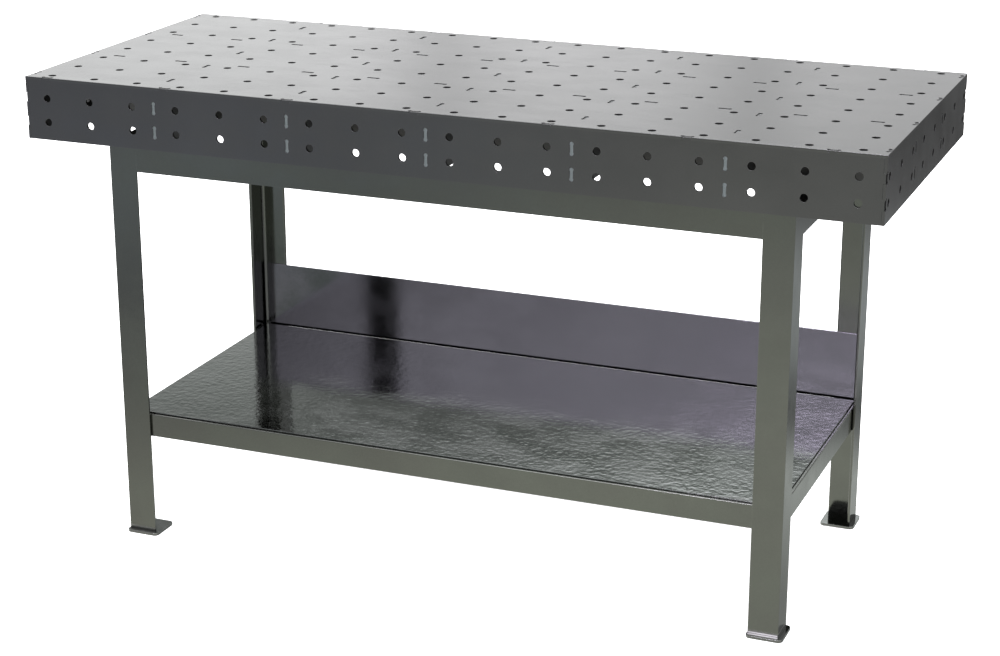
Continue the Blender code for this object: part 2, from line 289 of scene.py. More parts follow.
def without_repeats(points):
    """The outline without points that fall on the one before."""
    kept = []
    for point in points:
        if not kept or math.dist(point, kept[-1]) > SHORTEST_STEP:
            kept.append(point)
    if math.dist(kept[0], kept[-1]) <= SHORTEST_STEP:
        kept.pop()
    return kept


def inset(points, depth):
    """The outline moved by depth towards its left, where the metal is, with mitred corners."""
    moved = []
    count = len(points)
    for index in range(count):
        here = Vector(points[index])
        before = (here - Vector(points[index - 1])).normalized()
        after = (Vector(points[(index + 1) % count]) - here).normalized()
        normal_before = Vector((-before.y, before.x))
        normal_after = Vector((-after.y, after.x))
        spread = max(1 + normal_before.dot(normal_after), MITRE_LIMIT)
        moved.append(tuple(here + (normal_before + normal_after) * (depth / spread)))
    return moved


def rim_levels(half_thickness, rim):
    """Height and inset of each ring of the wall, from the top face to the bottom face."""
    levels = []
    for step in range(RIM_STEPS + 1):
        angle = math.pi / 2 * step / RIM_STEPS
        levels.append((half_thickness - rim + rim * math.cos(angle), rim - rim * math.sin(angle)))
    return levels + [(-height, depth) for height, depth in reversed(levels)]


def flat_fill(outlines):
    """Faces that fill flat outlines, the first solid and the rest holes, in the plane z = 0."""
    curve = bpy.data.curves.new("fill", "CURVE")
    curve.dimensions = "2D"
    curve.fill_mode = "BOTH"
    for outline in outlines:
        spline = curve.splines.new("POLY")
        spline.points.add(len(outline) - 1)
        for point, place in zip(spline.points, outline):
            point.co = (place[0], place[1], 0, 1)
        spline.use_cyclic_u = True
    holder = bpy.data.objects.new("fill", curve)
    bpy.context.scene.collection.objects.link(holder)
    depsgraph = bpy.context.evaluated_depsgraph_get()
    mesh = bpy.data.meshes.new_from_object(holder.evaluated_get(depsgraph))
    bpy.data.objects.remove(holder, do_unlink=True)
    bpy.data.curves.remove(curve)
    return mesh


def plate_bmesh(outlines, thickness, rim):
    """Closed solid of flat outlines with rounded rims, centred on z = 0."""
    loops = []
    for index, outline in enumerate(outlines):
        points = without_repeats(outline)
        if (signed_area(points) > 0) != (index == 0):
            points.reverse()
        loops.append(points)

    faces = bmesh.new()
    cap = flat_fill([inset(points, rim) for points in loops])
    for height in (thickness / 2, -thickness / 2):
        start = len(faces.verts)
        faces.from_mesh(cap)
        faces.verts.ensure_lookup_table()
        for vertex in faces.verts[start:]:
            vertex.co.z = height
    bpy.data.meshes.remove(cap)

    levels = rim_levels(thickness / 2, rim)
    for points in loops:
        rings = []
        for height, depth in levels:
            rings.append([faces.verts.new((x, y, height)) for x, y in inset(points, depth)])
        for upper, lower in zip(rings, rings[1:]):
            for index in range(len(points)):
                after = (index + 1) % len(points)
                faces.faces.new((upper[index], lower[index], lower[after], upper[after]))
    bmesh.ops.remove_doubles(faces, verts=faces.verts, dist=MERGE_DISTANCE)
    bmesh.ops.recalc_face_normals(faces, faces=faces.faces)
    return faces


def mitre(solid):
    """Cut both ends of an angle at 45 degrees, so that its heel side is the longer one."""
    for vertex in solid.verts:
        vertex.co.z -= math.copysign(vertex.co.x, vertex.co.z)


def cut_off(solid, point, normal):
    """Remove what lies on the normal's side of a plane, and close the cut."""
    geometry = list(solid.verts) + list(solid.edges) + list(solid.faces)
    found = bmesh.ops.bisect_plane(solid, geom=geometry, plane_co=point, plane_no=normal,
                                   clear_outer=True)
    rim = [item for item in found["geom_cut"] if isinstance(item, bmesh.types.BMEdge)]
    if rim:
        bmesh.ops.holes_fill(solid, edges=rim, sides=0)
        bmesh.ops.recalc_face_normals(solid, faces=solid.faces)


def turn(solid, origin, x_axis, y_axis):
    """Lay the solid's own x and y along two axes of the table, with its middle at the origin."""
    matrix = Matrix((x_axis, y_axis, x_axis.cross(y_axis))).transposed().to_4x4()
    matrix.translation = origin
    bmesh.ops.transform(solid, matrix=matrix, verts=solid.verts)


def add_piece(name, solid, material, nodes=()):
    """Finish a solid as a shown piece that rides on the table and stands for its nodes."""
    mesh = bpy.data.meshes.new(name)
    solid.to_mesh(mesh)
    solid.free()
    mesh.materials.append(material)
    mesh.shade_smooth()
    mesh.set_sharp_from_angle(angle=SHARP_ANGLE)
    piece = bpy.data.objects.new(name, mesh)
    bpy.context.scene.collection.objects.link(piece)
    weighted = piece.modifiers.new("face_weight", "WEIGHTED_NORMAL")
    weighted.weight = 100
    weighted.keep_sharp = True
    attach(piece, "root")
    for node in nodes:
        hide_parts(node)


def box_middle(node):
    low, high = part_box(node)
    return (low + high) / 2


def box_size(node):
    low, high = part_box(node)
    return high - low


# ---------------------------------------------------------------- fixture top


def work_height():
    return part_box("top_plate")[1].z


def cross_rib_places():
    return evenly_spaced(CROSS_RIBS, CROSS_RIB_PITCH)


def skirt_tab_places():
    return [SKIRT_TAB_START + index * SKIRT_TAB_PITCH for index in range(SKIRT_TABS)]


def tabs(places):
    return [(tab_step, place, TAB_REACH + GAP) for place in places]


def notches(places):
    return [(notch_step, place, SHEET + GAP) for place in places]


def laps(places):
    depth = (box_size("cross_rib_1").z - TAB_REACH) / 2
    return [(lap_step, place, depth) for place in places]


def top_slot_places():
    """Middle of each slot in the top plate, and whether it runs along x."""
    places = []
    for x in cross_rib_places():
        places += [(x, y, False) for y in evenly_spaced(CROSS_TABS, CROSS_TAB_PITCH)]
    for y in LONG_RIB_PLACES:
        places += [(x, y, True) for x in evenly_spaced(LONG_TABS, LONG_TAB_PITCH)]
    return places


def build_top_plate(material):
    half = box_size("top_plate") / 2
    long_side = notches(skirt_tab_places())
    short_side = notches(evenly_spaced(END_TABS, END_TAB_PITCH))
    outlines = [stepped_rectangle((-half.x, -half.y), (half.x, half.y),
                                  long_side, short_side, long_side, short_side)]
    for x in evenly_spaced(HOLE_COLUMNS, HOLE_PITCH):
        outlines += [circle(x, y, HOLE_DIAMETER) for y in evenly_spaced(HOLE_ROWS, HOLE_PITCH)]
    outlines += [dogbone(x, y, along_x) for x, y, along_x in top_slot_places()]
    solid = plate_bmesh(outlines, SHEET, SHEET_RIM)
    turn(solid, box_middle("top_plate"), X_AXIS, Y_AXIS)
    add_piece("top_plate_finished", solid, material, ["top_plate"])


def upright_corners(node, end_inset, top_inset):
    """Low and high corner of an upright sheet's body, in length and in height below the top."""
    low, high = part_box(node)
    size = high - low
    half = max(size.x, size.y) / 2 - end_inset
    return (-half, low.z - work_height()), (half, high.z - work_height() - top_inset)


def upright_sheet(node, outlines, material):
    """Raise flat outlines into the node's place; its length runs along x or y."""
    size = box_size(node)
    middle = box_middle(node)
    along = X_AXIS if size.x > size.y else Y_AXIS
    solid = plate_bmesh(outlines, SHEET, CUT_RIM)
    turn(solid, Vector((middle.x, middle.y, work_height())), along, Z_AXIS)
    add_piece(node + "_finished", solid, material, [node])


def build_skirt(node, end_inset, edges, tab_places, hole_places, slot_places, material):
    low, high = upright_corners(node, end_inset, SKIRT_TOP)
    outlines = [stepped_rectangle(low, high, right=edges, left=edges, top=tabs(tab_places))]
    for place in hole_places:
        outlines += [circle(place, level, HOLE_DIAMETER) for level in HOLE_LEVELS]
    for place in slot_places:
        outlines += [dogbone(place, level, False) for level in HOLE_LEVELS]
    upright_sheet(node, outlines, material)


def build_skirts(long_material, end_material):
    for node in ("front_skirt", "rear_skirt"):
        build_skirt(node, TABBED_END, tabs(HOLE_LEVELS), skirt_tab_places(),
                    evenly_spaced(HOLE_COLUMNS, HOLE_PITCH), cross_rib_places(), long_material)
    for node in ("left_skirt", "right_skirt"):
        build_skirt(node, PLAIN_END, notches(HOLE_LEVELS), evenly_spaced(END_TABS, END_TAB_PITCH),
                    evenly_spaced(HOLE_ROWS, HOLE_PITCH), LONG_RIB_PLACES, end_material)


def build_ribs(material):
    ends = tabs(HOLE_LEVELS)
    for number in range(1, CROSS_RIBS + 1):
        node = f"cross_rib_{number}"
        low, high = upright_corners(node, TABBED_END, RIB_TOP)
        top = tabs(evenly_spaced(CROSS_TABS, CROSS_TAB_PITCH))
        top += laps(LONG_RIB_PLACES)
        outline = stepped_rectangle(low, high, right=ends, top=top, left=ends)
        upright_sheet(node, [outline], material)
    for node in ("long_rib_front", "long_rib_rear"):
        low, high = upright_corners(node, TABBED_END, RIB_TOP)
        outline = stepped_rectangle(low, high, bottom=laps(cross_rib_places()), right=ends,
                                    top=tabs(evenly_spaced(LONG_TABS, LONG_TAB_PITCH)), left=ends)
        upright_sheet(node, [outline], material)


def plug_group(name, places, face, x_axis, y_axis, recess, material):
    """Weld plugs that fill slots: places in the sheet's own axes, face the sheet's surface."""
    group = bmesh.new()
    depth = recess + PLUG_THICKNESS / 2
    outward = x_axis.cross(y_axis)
    for x, y, along_x in places:
        solid = plate_bmesh([dogbone(x, y, along_x, PLUG_PLAY)], PLUG_THICKNESS, PLUG_RIM)
        turn(solid, face - outward * depth, x_axis, y_axis)
        mesh = bpy.data.meshes.new("plug")
        solid.to_mesh(mesh)
        solid.free()
        group.from_mesh(mesh)
        bpy.data.meshes.remove(mesh)
    add_piece(name, group, material)


def build_slot_welds(material):
    low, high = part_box("top_plate")
    plug_group("top_slot_welds", top_slot_places(), Vector((0, 0, high.z)), X_AXIS, Y_AXIS,
               TOP_PLUG_RECESS, material)
    long_places = [(x, z, False) for x in cross_rib_places() for z in HOLE_LEVELS]
    end_places = [(y, z, False) for y in LONG_RIB_PLACES for z in HOLE_LEVELS]
    faces = (
        ("front", long_places, Vector((0, low.y, high.z)), X_AXIS),
        ("rear", long_places, Vector((0, high.y, high.z)), -X_AXIS),
        ("right", end_places, Vector((high.x, 0, high.z)), Y_AXIS),
        ("left", end_places, Vector((low.x, 0, high.z)), -Y_AXIS),
    )
    for side, places, face, along in faces:
        plug_group(f"{side}_slot_welds", places, face, along, Z_AXIS, SIDE_PLUG_RECESS, material)


# ---------------------------------------------------------------- stand


def inward_axes(corner):
    """The two directions along a corner's flanges, in the order that keeps +Z up."""
    axes = {
        "front_left": (X_AXIS, Y_AXIS),
        "front_right": (Y_AXIS, -X_AXIS),
        "rear_right": (-X_AXIS, -Y_AXIS),
        "rear_left": (-Y_AXIS, X_AXIS),
    }
    return axes[corner]


def side_axis(side):
    """The direction from a side of the table towards its middle."""
    return {"front": Y_AXIS, "right": -X_AXIS, "rear": -Y_AXIS, "left": X_AXIS}[side]


def build_legs(front_material, rear_material):
    profile = angle_profile(ANGLE, ANGLE_THICKNESS, ANGLE_ROOT, ANGLE_TOE, ANGLE_HEEL)
    for corner in CORNERS:
        node = f"leg_{corner}"
        low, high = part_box(node)
        heel = Vector((low.x if "left" in corner else high.x,
                       low.y if "front" in corner else high.y, (low.z + high.z) / 2))
        solid = plate_bmesh([profile], high.z - low.z, CUT_RIM)
        turn(solid, heel, *inward_axes(corner))
        material = front_material if "front" in corner else rear_material
        add_piece(node + "_finished", solid, material, [node])


def rail_heel(node, side):
    """Middle of a rail's heel line: on its outer face and at its top."""
    low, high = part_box(node)
    heel = Vector(((low.x + high.x) / 2, (low.y + high.y) / 2, high.z))
    if side in ("front", "rear"):
        heel.y = low.y if side == "front" else high.y
    else:
        heel.x = low.x if side == "left" else high.x
    return heel


def build_top_rails(material):
    """Rails that close their fit gaps to the legs, but for a little play."""
    profile = angle_profile(ANGLE, ANGLE_THICKNESS, ANGLE_ROOT, ANGLE_TOE, TOP_RAIL_HEEL)
    for side in SIDES:
        node = f"top_rail_{side}"
        size = box_size(node)
        length = max(size.x, size.y) + 2 * GAP - TOP_RAIL_PLAY
        solid = plate_bmesh([profile], length, TOP_RAIL_RIM)
        turn(solid, rail_heel(node, side), side_axis(side), -Z_AXIS)
        add_piece(node + "_finished", solid, material, [node])


def build_shelf_rails(material):
    """A mitred frame whose outer corners are cut off where the legs' root fillets are."""
    profile = angle_profile(SHELF_ANGLE, SHELF_ANGLE_THICKNESS, SHELF_ANGLE_ROOT,
                            SHELF_ANGLE_TOE, SHELF_ANGLE_HEEL)
    front_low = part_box("shelf_rail_front")[0]
    rear_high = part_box("shelf_rail_rear")[1]
    left_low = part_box("shelf_rail_left")[0]
    right_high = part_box("shelf_rail_right")[1]
    frame_middle = Vector(((left_low.x + right_high.x) / 2, (front_low.y + rear_high.y) / 2, 0))
    for side in SIDES:
        node = f"shelf_rail_{side}"
        if side in ("front", "rear"):
            length = right_high.x - left_low.x - GAP
        else:
            length = rear_high.y - front_low.y - GAP
        solid = plate_bmesh([profile], length, CUT_RIM)
        mitre(solid)
        turn(solid, rail_heel(node, side), side_axis(side), -Z_AXIS)
        for x in (left_low.x, right_high.x):
            for y in (front_low.y, rear_high.y):
                corner = Vector((x, y, 0))
                outward = Vector((math.copysign(1, x - frame_middle.x),
                                  math.copysign(1, y - frame_middle.y), 0)).normalized()
                cut_off(solid, corner - outward * RAIL_CORNER_CUT / math.sqrt(2), outward)
        add_piece(node + "_finished", solid, material, [node])


def build_thin_sheets(shelf_material, panel_material):
    size = box_size("shelf_sheet")
    solid = plate_bmesh([rounded_rectangle(size.x, size.y, SHEET_CORNER)], size.z, THIN_RIM)
    turn(solid, box_middle("shelf_sheet"), X_AXIS, Y_AXIS)
    add_piece("shelf_sheet_finished", solid, shelf_material, ["shelf_sheet"])

    size = box_size("back_panel")
    solid = plate_bmesh([rounded_rectangle(size.x, size.z, SHEET_CORNER)], size.y, THIN_RIM)
    turn(solid, box_middle("back_panel"), X_AXIS, Z_AXIS)
    add_piece("back_panel_finished", solid, panel_material, ["back_panel"])


def build_feet(material):
    for corner in CORNERS:
        node = f"foot_plate_{corner}"
        size = box_size(node)
        outline = rounded_rectangle(size.x, size.y, FOOT_CORNER, 12)
        solid = plate_bmesh([outline], size.z, FOOT_RIM)
        turn(solid, box_middle(node), X_AXIS, Y_AXIS)
        add_piece(node + "_finished", solid, material, [node])


# ---------------------------------------------------------------- materials


class Nodes:
    """Short forms for adding and linking shader nodes."""

    def __init__(self, tree):
        self.tree = tree

    def add(self, kind, **settings):
        node = self.tree.nodes.new(kind)
        for key, value in settings.items():
            setattr(node, key, value)
        return node

    def link(self, output, socket):
        self.tree.links.new(output, socket)

    def noise(self, vector, scale, detail, roughness):
        node = self.add("ShaderNodeTexNoise")
        node.inputs["Scale"].default_value = scale
        node.inputs["Detail"].default_value = detail
        node.inputs["Roughness"].default_value = roughness
        self.link(vector, node.inputs["Vector"])
        return node.outputs["Fac"]

    def stretched(self, vector, scale):
        node = self.add("ShaderNodeMapping")
        node.inputs["Scale"].default_value = scale
        self.link(vector, node.inputs["Vector"])
        return node.outputs["Vector"]

    def spread(self, value, from_low, from_high, to_low=0.0, to_high=1.0):
        """Soft step of a value, from one range to another."""
        node = self.add("ShaderNodeMapRange", interpolation_type="SMOOTHSTEP")
        for name, number in (("From Min", from_low), ("From Max", from_high),
                             ("To Min", to_low), ("To Max", to_high)):
            node.inputs[name].default_value = number
        self.link(value, node.inputs["Value"])
        return node.outputs["Result"]

    def window(self, value, rise, fall):
        """1 between two soft borders, each given as the values it runs between, and 0 outside."""
        return self.math("MULTIPLY", self.spread(value, *rise), self.spread(value, *fall, 1.0, 0.0))

    def math(self, operation, first, second):
        node = self.add("ShaderNodeMath", operation=operation)
        for socket, value in zip(node.inputs, (first, second)):
            if isinstance(value, (int, float)):
                socket.default_value = value
            else:
                self.link(value, socket)
        return node.outputs["Value"]

    def mix_colour(self, factor, first, second, blend="MIX"):
        node = self.add("ShaderNodeMix", data_type="RGBA", blend_type=blend)
        sockets = {"Factor": factor, "A": first, "B": second}
        for socket in node.inputs:
            if not socket.enabled or socket.name not in sockets:
                continue
            value = sockets[socket.name]
            if isinstance(value, (int, float)):
                socket.default_value = value
            elif isinstance(value, tuple):
                socket.default_value = (*value, 1.0)
            else:
                self.link(value, socket)
        return next(output for output in node.outputs if output.enabled)

    def multiplied(self, first, second):
        return self.mix_colour(1.0, first, second, "MULTIPLY")

    def dot(self, first, second):
        """Dot product of a vector and a second one, linked or constant."""
        node = self.add("ShaderNodeVectorMath", operation="DOT_PRODUCT")
        self.link(first, node.inputs[0])
        if isinstance(second, bpy.types.NodeSocket):
            self.link(second, node.inputs[1])
        else:
            node.inputs[1].default_value = second
        return node.outputs["Value"]

    def separated(self, vector):
        """The x, y and z outputs of a vector."""
        node = self.add("ShaderNodeSeparateXYZ")
        self.link(vector, node.inputs["Vector"])
        return node.outputs

    def ramp(self, value, stops, low, high):
        """Colour along value, from stops of (value, brightness, colour) between low and high."""
        scaled = self.add("ShaderNodeMapRange")
        scaled.inputs["From Min"].default_value = low
        scaled.inputs["From Max"].default_value = high
        self.link(value, scaled.inputs["Value"])
        node = self.add("ShaderNodeValToRGB")
        self.link(scaled.outputs["Result"], node.inputs["Fac"])
        elements = node.color_ramp.elements
        while len(elements) < len(stops):
            elements.new(0.5)
        for element, (place, brightness, colour) in zip(elements, stops):
            element.position = (place - low) / (high - low)
            element.color = (*(channel * brightness for channel in colour), 1.0)
        return node.outputs["Color"]

    def mix_value(self, factor, first, second):
        """Blend from the first value to the second number."""
        node = self.add("ShaderNodeMapRange")
        self.link(factor, node.inputs["Value"])
        self.link(first, node.inputs["To Min"])
        node.inputs["To Max"].default_value = second
        return node.outputs["Result"]

    def inner_faces(self, axis):
        """Mask of the painted shade: 1 on a sheet's inner face and on the walls of its cuts, 0 on
        its outer face and border.

        The sheet's outer face looks away from the table's middle along the axis.
        """
        geometry = self.add("ShaderNodeNewGeometry")
        facing = self.dot(geometry.outputs["True Normal"], axis)
        place = self.dot(geometry.outputs["Position"], axis)
        limits = SHADE_OUTWARD_TOP if axis == Z_AXIS else SHADE_OUTWARD_SIDE
        inner = self.spread(self.math("MULTIPLY", facing, place), *limits)
        parts = self.separated(geometry.outputs["Position"])
        half = box_size("top_plate") / 2
        start, end = SHADE_FREE_BORDER
        for output, reach, side in zip(parts, half.xy, (X_AXIS, Y_AXIS)):
            if side == axis:
                continue
            distance = self.math("ABSOLUTE", output, 0.0)
            within = self.spread(distance, reach - start, reach - end)
            inner = self.math("MULTIPLY", inner, within)
        return inner

    def bump(self, height, strength, distance, normal=None):
        node = self.add("ShaderNodeBump")
        node.inputs["Strength"].default_value = strength
        node.inputs["Distance"].default_value = distance
        self.link(height, node.inputs["Height"])
        if normal is not None:
            self.link(normal, node.inputs["Normal"])
        return node.outputs["Normal"]

    def edge_mask(self, radius):
        """1 on edges that get rubbed bright, 0 on flats."""
        rounded = self.add("ShaderNodeBevel", samples=4)
        rounded.inputs["Radius"].default_value = radius
        geometry = self.add("ShaderNodeNewGeometry")
        turned = self.dot(rounded.outputs["Normal"], geometry.outputs["True Normal"])
        return self.spread(turned, *WEAR_TURN)


def metal(name):
    """A new metal: its material, nodes, shader and the place on the piece."""
    material = bpy.data.materials.new(name)
    material.use_nodes = True
    nodes = Nodes(material.node_tree)
    shader = material.node_tree.nodes["Principled BSDF"]
    shader.inputs["Metallic"].default_value = 1.0
    place = nodes.add("ShaderNodeTexCoord").outputs["Object"]
    return material, nodes, shader, place


def steel(name, colour, roughness, grain=(1.0, 1.0, 1.0), tint=WHITE, blotch=0.04, smudge=0.03,
          edge_gain=1.7, ripple=None, warp=0.01, inside=None, band=None):
    """Bare steel: soft blotches, directional grain, smudges, rubbed edges and, with inside, painted
    shade on inner faces and cut walls.

    Grain is the stretch of the fine grain along x, y and z; tint is the colour of the blotches
    against the base; ripple is (cells per metre, depth) of a hammered surface; warp is how far
    Grain is the stretch of the fine grain along x, y and z; tint is the colour of the blotches
    against the base; ripple is (cells per metre, depth) of a hammered surface; warp is how far
    the sheet is from flat; inside is the outward axis of a sheet that gets a dark, dull painted
    shade on all but its outer face and border; band is the (low, high) height of a dull, paler
    ring above a foot weld.
    """
    material, nodes, shader, place = metal(name)

    clouds = nodes.noise(place, scale=3.2, detail=5.0, roughness=0.6)
    darker = tuple(channel * (1 - blotch) for channel in colour)
    lighter = tuple(channel * share * (1 + blotch) for channel, share in zip(colour, tint))
    base = nodes.mix_colour(nodes.spread(clouds, 0.35, 0.68), darker, lighter)

    lines = nodes.noise(nodes.stretched(place, grain), scale=320.0, detail=3.0, roughness=0.6)
    base = nodes.multiplied(base, nodes.spread(lines, 0.25, 0.75, 0.96, 1.04))

    breaks = nodes.noise(place, scale=55.0, detail=4.0, roughness=0.65)
    broken = nodes.spread(breaks, 0.32, 0.62, 0.15, 1.0)
    worn = nodes.math("MULTIPLY", nodes.edge_mask(WEAR_RADIUS), broken)
    rubbed = tuple(min(1.0, channel * edge_gain + 0.01) for channel in colour)
    base = nodes.mix_colour(nodes.math("MULTIPLY", worn, 0.7), base, rubbed)

    streaks = nodes.stretched(place, (1.0, 1.6, 1.3))
    smears = nodes.noise(streaks, scale=9.0, detail=6.0, roughness=0.62)
    smear_rough = nodes.spread(smears, 0.36, 0.66, -smudge, smudge)
    line_rough = nodes.spread(lines, 0.2, 0.8, -0.015, 0.015)
    total = nodes.math("ADD", smear_rough, line_rough)
    total = nodes.math("ADD", total, roughness)
    total = nodes.math("SUBTRACT", total, nodes.math("MULTIPLY", worn, roughness * 0.3))
    total = nodes.math("MAXIMUM", total, LEAST_ROUGHNESS)

    # Painted shade: a dark, dull coat on inner faces and the walls of cuts, darkening holes and the
    # space under the top.
    if inside:
        scale = nodes.inner_faces(inside)
        total = nodes.mix_value(scale, total, INNER_FACE_ROUGHNESS)
        base = nodes.mix_colour(nodes.math("MULTIPLY", scale, PAINTED_SHADE_SHARE), base, PAINTED_SHADE_COLOUR)
    if band:
        low, high = band
        height = nodes.separated(place)["Z"]
        share = nodes.window(height, (low, low + FOOT_WELD_FADE_IN),
                             (high, high + FOOT_WELD_FADE_OUT))
        total = nodes.math("ADD", total, nodes.math("MULTIPLY", share, FOOT_WELD_ROUGHNESS))
        base = nodes.mix_colour(share, base, FOOT_WELD_COLOUR)
    nodes.link(base, shader.inputs["Base Color"])
    nodes.link(total, shader.inputs["Roughness"])

    normal = nodes.bump(lines, strength=0.015, distance=0.0002)
    waves = nodes.noise(place, scale=2.2, detail=2.0, roughness=0.5)
    normal = nodes.bump(waves, strength=warp, distance=0.004, normal=normal)
    if ripple:
        cells, depth = ripple
        hammered = nodes.stretched(place, RIPPLE_STRETCH)
        hammered = nodes.noise(hammered, scale=cells, detail=2.0, roughness=0.5)
        normal = nodes.bump(hammered, strength=1.0, distance=depth, normal=normal)
    nodes.link(normal, shader.inputs["Normal"])
    return material


def weld_material():
    """Rough, slightly beaded weld metal in the slots."""
    material, nodes, shader, place = metal("slot_weld")
    beads = nodes.noise(place, scale=420.0, detail=3.0, roughness=0.6)
    base = nodes.mix_colour(nodes.spread(beads, 0.3, 0.7), SLOT_WELD_DARK, SLOT_WELD_PALE)
    nodes.link(base, shader.inputs["Base Color"])
    nodes.link(nodes.spread(beads, 0.3, 0.7, 0.5, 0.68), shader.inputs["Roughness"])
    nodes.link(nodes.bump(beads, strength=0.5, distance=0.0004), shader.inputs["Normal"])
    return material


# ---------------------------------------------------------------- studio


FLOOR_REACH = 40
FLOOR_DROP = 0.0005
FLOOR_COLOUR = (0.80, 0.80, 0.80)
FLOOR_GLOW = 0.75


def add_floor():
    """Plain pale floor that glows a little, so that it stays white, and is left out of gloss."""
    mesh = bpy.data.meshes.new("studio_floor")
    solid = bmesh.new()
    bmesh.ops.create_grid(solid, x_segments=1, y_segments=1, size=FLOOR_REACH)
    solid.to_mesh(mesh)
    solid.free()
    floor = bpy.data.objects.new("studio_floor", mesh)
    floor.location.z = -FLOOR_DROP
    floor.visible_glossy = False
    bpy.context.scene.collection.objects.link(floor)
    material = bpy.data.materials.new("pale_floor")
    material.use_nodes = True
    shader = material.node_tree.nodes["Principled BSDF"]
    shader.inputs["Base Color"].default_value = (*FLOOR_COLOUR, 1.0)
    shader.inputs["Roughness"].default_value = 0.9
    shader.inputs["Specular IOR Level"].default_value = 0.0
    shader.inputs["Emission Color"].default_value = (*WHITE, 1.0)
    shader.inputs["Emission Strength"].default_value = FLOOR_GLOW
    mesh.materials.append(material)


# Studio surroundings, as stops of (height, brightness, colour) by the height of a direction, from
# straight down (-1) to straight up (1).  A sweep is the pale ground below the horizon, and a wall
# is what stands above it, up to the bright ceiling.  Those with LEFT in the name serve directions
# far to the left.
FRONT_LEFT_SWEEP = (
    (-1.00, 0.80, (1.00, 1.00, 0.97)),
    (-0.42, 1.08, (1.00, 1.00, 0.91)),
    (-0.38, 1.02, (1.00, 1.00, 0.92)),
    (-0.34, 0.58, (1.00, 1.00, 0.99)),
    (-0.30, 0.44, (0.96, 1.00, 1.06)),
    (-0.25, 0.64, (0.92, 1.00, 1.12)),
    (-0.20, 0.48, (0.98, 1.00, 1.06)),
)
FRONT_RIGHT_SWEEP = (
    (-1.00, 0.80, (1.00, 1.00, 0.97)),
    (-0.44, 1.00, (0.99, 1.00, 0.92)),
    (-0.35, 1.18, (0.99, 1.00, 0.92)),
    (-0.28, 0.80, (0.96, 1.00, 0.95)),
    (-0.22, 0.45, (0.97, 1.00, 0.92)),
)
FRONT_WALL = (
    (-0.02, 0.42, (1.00, 1.00, 1.02)),
    (0.10, 1.05, (1.00, 0.99, 1.03)),
    (0.26, 1.25, (1.00, 0.98, 1.04)),
    (0.32, 3.40, (1.00, 0.97, 1.06)),
    (1.00, 3.50, (1.00, 1.00, 1.00)),
)
REAR_SWEEP = (
    (-1.00, 0.70, (1.00, 1.00, 0.98)),
    (-0.42, 0.36, (0.96, 1.00, 0.96)),
    (-0.375, 0.80, (0.95, 1.00, 0.96)),
    (-0.349, 0.06, (1.00, 1.00, 1.00)),
    (-0.325, 0.50, (0.94, 1.00, 1.00)),
    (-0.29, 0.54, (0.94, 1.00, 1.01)),
    (-0.26, 0.17, (1.00, 1.00, 1.00)),
    (-0.22, 0.09, (1.00, 1.00, 1.00)),
)
# The ground behind the table, but for the dark part that REAR_SWEEP describes.
OUTER_REAR_SWEEP = (
    (-1.00, 0.70, (1.00, 1.00, 0.98)),
    (-0.40, 0.75, (0.98, 1.00, 0.96)),
    (-0.30, 0.62, (0.97, 1.00, 1.00)),
    (-0.15, 0.50, (0.98, 1.00, 1.02)),
)
REAR_WALL = (
    (0.00, 0.90, (1.00, 1.00, 1.00)),
    (0.16, 1.00, (1.00, 1.00, 1.01)),
    (0.26, 1.00, (1.00, 1.00, 1.01)),
    (0.30, 0.44, (0.97, 1.00, 0.97)),
    (0.345, 0.30, (0.95, 1.00, 0.96)),
    (0.365, 0.25, (0.93, 1.00, 0.95)),
    (0.374, 0.30, (0.93, 1.00, 0.95)),
    (0.382, 0.48, (0.93, 1.00, 0.95)),
    (0.390, 0.85, (0.94, 1.00, 0.96)),
    (0.398, 1.50, (0.95, 1.00, 0.98)),
    (0.420, 2.50, (0.98, 0.98, 1.02)),
    (1.00, 3.00, (1.00, 1.00, 1.00)),
)
REAR_LEFT_WALL = (
    (0.00, 0.90, (1.00, 1.00, 1.00)),
    (0.16, 1.00, (1.00, 1.00, 1.01)),
    (0.30, 1.00, (0.98, 1.00, 0.99)),
    (0.335, 0.82, (0.95, 1.00, 0.97)),
    (0.36, 0.46, (0.95, 1.00, 0.97)),
    (0.42, 0.42, (0.95, 1.00, 0.97)),
    (0.50, 2.60, (1.00, 1.00, 1.00)),
    (1.00, 3.00, (1.00, 1.00, 1.00)),
)
# Brightness of the rear wall's lower part by how far a direction points across, in soft panels.
REAR_PANELS = (
    (-0.420, 1.56), (-0.403, 1.36), (-0.387, 1.10), (-0.371, 1.29), (-0.353, 1.45),
    (-0.306, 1.36), (-0.275, 1.12), (-0.2565, 0.86), (-0.238, 1.12), (-0.222, 1.17),
    (-0.190, 1.06),
)
# Soft borders of the dark part on the ground behind, across.
DARK_REAR_ACROSS = ((0.02, 0.14), (0.58, 0.72))
# A small patch of the front sweep that is dimmer: its soft borders across and in height.
PATCH_ACROSS = ((-0.465, -0.445), (-0.405, -0.385))
PATCH_HEIGHT = ((-0.325, -0.315), (-0.285, -0.270))
PATCH_SHARE = (0.46, 0.54, 0.42)
# A soft key light in the surroundings: direction, cosines of its border, brightness and colour.
KEY_DIRECTION = (-0.20, -0.87, 0.45)
KEY_BORDER = (0.9975, 0.9992)
KEY_BRIGHTNESS = 30.0
KEY_COLOUR = (1.04, 0.92, 1.14)


